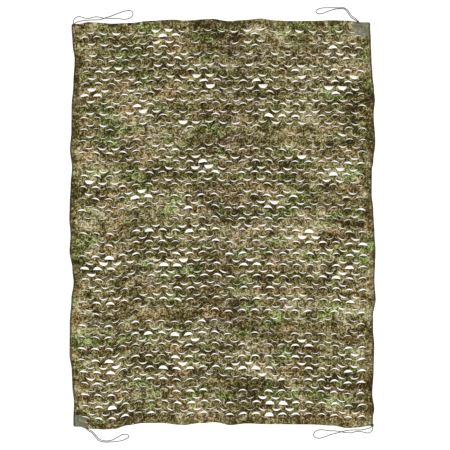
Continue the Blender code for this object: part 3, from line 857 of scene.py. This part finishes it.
def clothPaint(name, darker, curled):
    paint = Paint(name)
    spot = paint.node("ShaderNodeUVMap", {"uv_map": "print"})
    colour = foliagePrint(paint, spot)
    colour = paint.mix(cornerPatch(paint, spot) * 0.7, colour, foliage["patch"])
    if curled:
        curl = paint.node("ShaderNodeAttribute", {"attribute_name": "curl"}, None, 2)
        # painted shade on each tongue's curled edge, mixed towards the near-black colour
        colour = paint.mix(paint.between(curl, 0.12, 0.75) * 0.9, colour, foliage["back"])
    else:
        across = paint.node("ShaderNodeSeparateXYZ", None, {0: spot}, 0)
        # painted shade along the rolled left and right edges, darkest in the outer 7 mm
        offSide = paint.node("ShaderNodeMath", {"operation": "ABSOLUTE"}, {0: across})
        rimShade = paint.between(offSide, net["width"] / 2 - 0.012, net["width"] / 2 - 0.007)
        colour = paint.mix(rimShade * 0.65, colour, foliage["rimShade"])
        colour = paint.mix(darker, colour, foliage["rimShade"])
    paint.set("Base Color", colour)
    threads = paint.noise(spot, 420.0, 2.0, 0.6)
    paint.set("Roughness", 0.82 + threads * 0.16)
    warpThreads = paint.node("ShaderNodeTexWave", {"wave_type": "BANDS", "bands_direction": "X"},
                             {"Vector": spot, "Scale": 240.0, "Distortion": 0.6, "Detail": 1.0})
    weftThreads = paint.node("ShaderNodeTexWave", {"wave_type": "BANDS", "bands_direction": "Y"},
                             {"Vector": spot, "Scale": 240.0, "Distortion": 0.6, "Detail": 1.0})
    weave = warpThreads * weftThreads + threads * 0.8
    bump = paint.node("ShaderNodeBump", None, {"Strength": 0.35, "Distance": 0.0004, "Height": weave})
    paint.set("Normal", bump)
    paint.shader.inputs["Specular IOR Level"].default_value = 0.12
    return paint.material


def cordPaint():
    paint = Paint("braided_cord")
    lay = paint.node("ShaderNodeUVMap", {"uv_map": "lay"})
    place = paint.node("ShaderNodeTexCoord", None, None, 3)
    around = paint.node("ShaderNodeSeparateXYZ", None, {0: lay}, 0)
    along = paint.node("ShaderNodeSeparateXYZ", None, {0: lay}, 1)
    turns = cordSteps["braidTurns"] * 2 * math.pi
    pitch = 2 * math.pi * 2.5 / cordSteps["braidPitch"]
    oneWay = paint.node("ShaderNodeMath", {"operation": "SINE"}, {0: around * turns + along * pitch})
    otherWay = paint.node("ShaderNodeMath", {"operation": "SINE"}, {0: around * turns - along * pitch})
    plait = paint.node("ShaderNodeMath", {"operation": "ABSOLUTE"}, {0: oneWay * otherWay})
    fleck = paint.noise(place, 900.0, 2.0, 0.6)
    soiled = paint.noise(place, 45.0, 2.0, 0.5)
    # painted shade: the cord is darkest down between its plaits and lightest on their crests
    colour = paint.ramp(plait, [(0.0, (0.008, 0.009, 0.010)), (0.5, (0.030, 0.034, 0.036)),
                                (1.0, (0.060, 0.066, 0.068))])
    colour = paint.mix(paint.between(fleck, 0.55, 0.72) * 0.4, colour, (0.110, 0.116, 0.112))
    colour = paint.mix(paint.between(soiled, 0.50, 0.75) * 0.35, colour, (0.040, 0.038, 0.032))
    paint.set("Base Color", colour)
    paint.set("Roughness", 0.62 + fleck * 0.25)
    high = plait + fleck * 0.4
    bump = paint.node("ShaderNodeBump", None, {"Strength": 0.5, "Distance": 0.0003, "Height": high})
    paint.set("Normal", bump)
    return paint.material


def threadPaint():
    paint = Paint("hem_thread")
    place = paint.node("ShaderNodeTexCoord", None, None, 3)
    twist = paint.noise(place, 700.0, 2.0, 0.6)
    paint.set("Base Color", paint.ramp(twist, [(0.35, (0.050, 0.046, 0.022)), (0.65, (0.125, 0.115, 0.060))]))
    paint.set("Roughness", 0.6 + twist * 0.2)
    return paint.material


def groundPaint():
    paint = Paint("studio_ground")
    place = paint.node("ShaderNodeTexCoord", None, None, 3)
    grain = paint.noise(place, 3.0, 2.0, 0.5)
    paint.set("Base Color", paint.ramp(grain, [(0.3, (0.375, 0.395, 0.455)), (0.7, (0.385, 0.405, 0.465))]))
    paint.shader.inputs["Roughness"].default_value = 0.9
    paint.shader.inputs["Emission Color"].default_value = (1.0, 0.95, 0.85, 1.0)
    paint.shader.inputs["Emission Strength"].default_value = 0.78
    return paint.material


# Camera, light and ground
studio = {
    "lens": 85.0,
    "sensor": 36.0,
    "sunStrength": 2.1,
    "sunAngle": 9.0,
    "sunTilt": (-26.0, -22.0),  # degrees about X and Y
    "worldStrength": 0.62,
}


def setCamera():
    half = photo["side"] / 2
    x = (half - photo["middle"][0]) * photo["scale"] - shiftX
    y = (photo["middle"][1] - half) * photo["scale"] - shiftY
    height = photo["side"] * photo["scale"] / 2 * studio["lens"] / (studio["sensor"] / 2)
    data = bpy.data.cameras.new("camera")
    data.lens = studio["lens"]
    data.sensor_width = studio["sensor"]
    data.clip_end = 50.0
    camera = bpy.data.objects.new("camera", data)
    camera.location = (x, y, height)
    bpy.context.scene.collection.objects.link(camera)
    bpy.context.scene.camera = camera


def setLight():
    data = bpy.data.lights.new("key", "SUN")
    data.energy = studio["sunStrength"]
    data.angle = math.radians(studio["sunAngle"])
    lamp = bpy.data.objects.new("key", data)
    tiltX, tiltY = studio["sunTilt"]
    lamp.rotation_euler = (math.radians(tiltX), math.radians(tiltY), 0.0)
    bpy.context.scene.collection.objects.link(lamp)
    world = bpy.data.worlds.new("studio")
    bpy.context.scene.world = world
    world.use_nodes = True
    back = world.node_tree.nodes["Background"]
    back.inputs[0].default_value = (1.0, 1.0, 1.0, 1.0)
    back.inputs[1].default_value = studio["worldStrength"]
    bpy.context.scene.view_settings.view_transform = "Standard"
    bpy.context.scene.view_settings.look = "None"


def setGround():
    bpy.ops.object.select_all(action="DESELECT")
    bpy.ops.mesh.primitive_plane_add(size=12.0, location=(0.0, 0.0, -0.0002))
    ground = bpy.context.active_object
    ground.name = "ground"
    bpy.ops.object.transform_apply(location=True, rotation=True, scale=True)
    ground.data.materials.append(groundPaint())


setCamera()
setLight()
setGround()
print("studio is set")

cordFinish = cordPaint()
for corner in cords:
    cord, knot, path = cornerCord(corner)
    for piece, node in ((cord, f"cord_{corner}"), (knot, f"knot_{corner}")):
        piece.data.materials.append(cordFinish)
        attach(piece, "root")
        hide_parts(node)
print("cords and knots are tied")

cloth = clothSheet()
cloth.data.materials.append(clothPaint("printed_cloth", 0.0, True))
print("cloth is cut:", len(cloth.data.polygons), "faces")
band = hemBand()
band.data.materials.append(clothPaint("hem_cloth", 0.15, False))
stitches = hemStitches()
stitches.data.materials.append(threadPaint())
for piece in (cloth, band, stitches):
    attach(piece, "root")
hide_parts("net")
print("hem is sewn")
